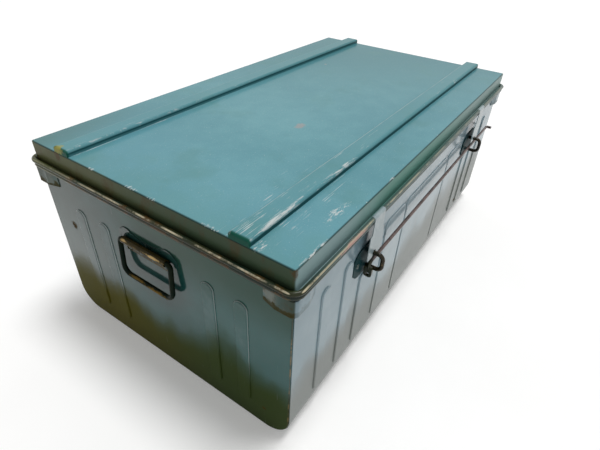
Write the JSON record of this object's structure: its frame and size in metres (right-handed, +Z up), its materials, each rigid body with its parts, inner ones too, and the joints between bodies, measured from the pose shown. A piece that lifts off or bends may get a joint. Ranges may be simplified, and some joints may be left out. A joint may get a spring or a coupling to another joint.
{
  "type": "military trunk",
  "caption": "Sheet-steel trunk with pressed swages, a hinged lid with battens, drop handles on the ends, and hasps that close over staples sharing one sliding locking bar.",
  "frame": {"origin": "middle of the floor of the body, where the trunk stands", "axes": "+X along the length towards the right end as seen from the hasps, -Y out of the front with the hasps, +Z up"},
  "size_m": [0.9432, 0.563, 0.3675],
  "materials": {
    "body_paint": "semi-gloss grey-green enamel with scuffs and rust spots",
    "lid_paint": "semi-gloss blue-green enamel with pale scratches along edges and battens",
    "rim_paint": "enamel worn to primer and rust along the beads and corner caps",
    "hardware": "dark enamel, worn brown at the edges",
    "rusty_bar": "dark round bar with traces of paint and rust",
    "inner_steel": "plain drawn wire and strip",
    "rivet_steel": "painted rivet heads, worn on their crowns"
  },
  "bodies": {
    "case": {"body_wrap": "body_paint", "end_panel_left": "body_paint", "end_panel_right": "body_paint", "hinge_body_leaf_left": "body_paint", "hinge_body_leaf_right": "body_paint", "body_rim": "rim_paint", "rim_corner_front_left": "rim_paint", "rim_corner_front_right": "rim_paint", "rim_corner_back_left": "rim_paint", "rim_corner_back_right": "rim_paint", "staple_plate_left": "hardware", "staple_plate_right": "hardware", "handle_plate_left": "hardware", "handle_plate_right": "hardware", "handle_keeper_left": "hardware", "handle_keeper_right": "hardware", "staple_left": "rusty_bar", "staple_right": "rusty_bar", "body_rim_wire": "inner_steel", "hinge_pin_left": "inner_steel", "hinge_pin_right": "inner_steel", "handle_backing_left": "inner_steel", "handle_backing_right": "inner_steel", "staple_rivets_left": "rivet_steel", "staple_rivets_right": "rivet_steel", "handle_rivets_left": "rivet_steel", "handle_rivets_right": "rivet_steel", "hinge_body_rivets": "rivet_steel"},
    "lid": {"lid_shell": "lid_paint", "lid_rim_wire": "inner_steel", "batten_front": "lid_paint", "batten_rear": "lid_paint", "hinge_lid_rivets": "rivet_steel", "hinge_lid_leaf_left": "lid_paint", "hinge_lid_leaf_right": "lid_paint"},
    "hasp_left": {"hasp_left": "hardware"},
    "hasp_right": {"hasp_right": "hardware"},
    "locking_bar": {"locking_bar": "rusty_bar"},
    "bail_left": {"handle_bail_left": "rusty_bar"},
    "bail_right": {"handle_bail_right": "rusty_bar"}
  },
  "joints": [
    {"name": "lid_hinge", "type": "hinge", "parent": "case", "child": "lid", "pos_m": [0, 0.272, 0.3215], "axis": [-1, 0, 0], "range_deg": [0, 105]},
    {"name": "locking_bar_slide", "type": "slide", "parent": "case", "child": "locking_bar", "axis": [-1, 0, 0], "range_m": [0, 0.63]},
    {"name": "bail_left_lift", "type": "hinge", "parent": "case", "child": "bail_left", "pos_m": [-0.463, 0.0065, 0.2575], "axis": [0, 1, 0], "range_deg": [-5.5, 86]},
    {"name": "bail_right_lift", "type": "hinge", "parent": "case", "child": "bail_right", "pos_m": [0.463, 0.0065, 0.2575], "axis": [0, -1, 0], "range_deg": [-5.5, 86]},
    {"name": "hasp_left_swing", "type": "hinge", "parent": "lid", "child": "hasp_left", "pos_m": [-0.258, -0.2635, 0.32585], "axis": [-1, 0, 0], "range_deg": [0, 170]},
    {"name": "hasp_right_swing", "type": "hinge", "parent": "lid", "child": "hasp_right", "pos_m": [0.258, -0.2635, 0.32585], "axis": [-1, 0, 0], "range_deg": [0, 170]}
  ]
}
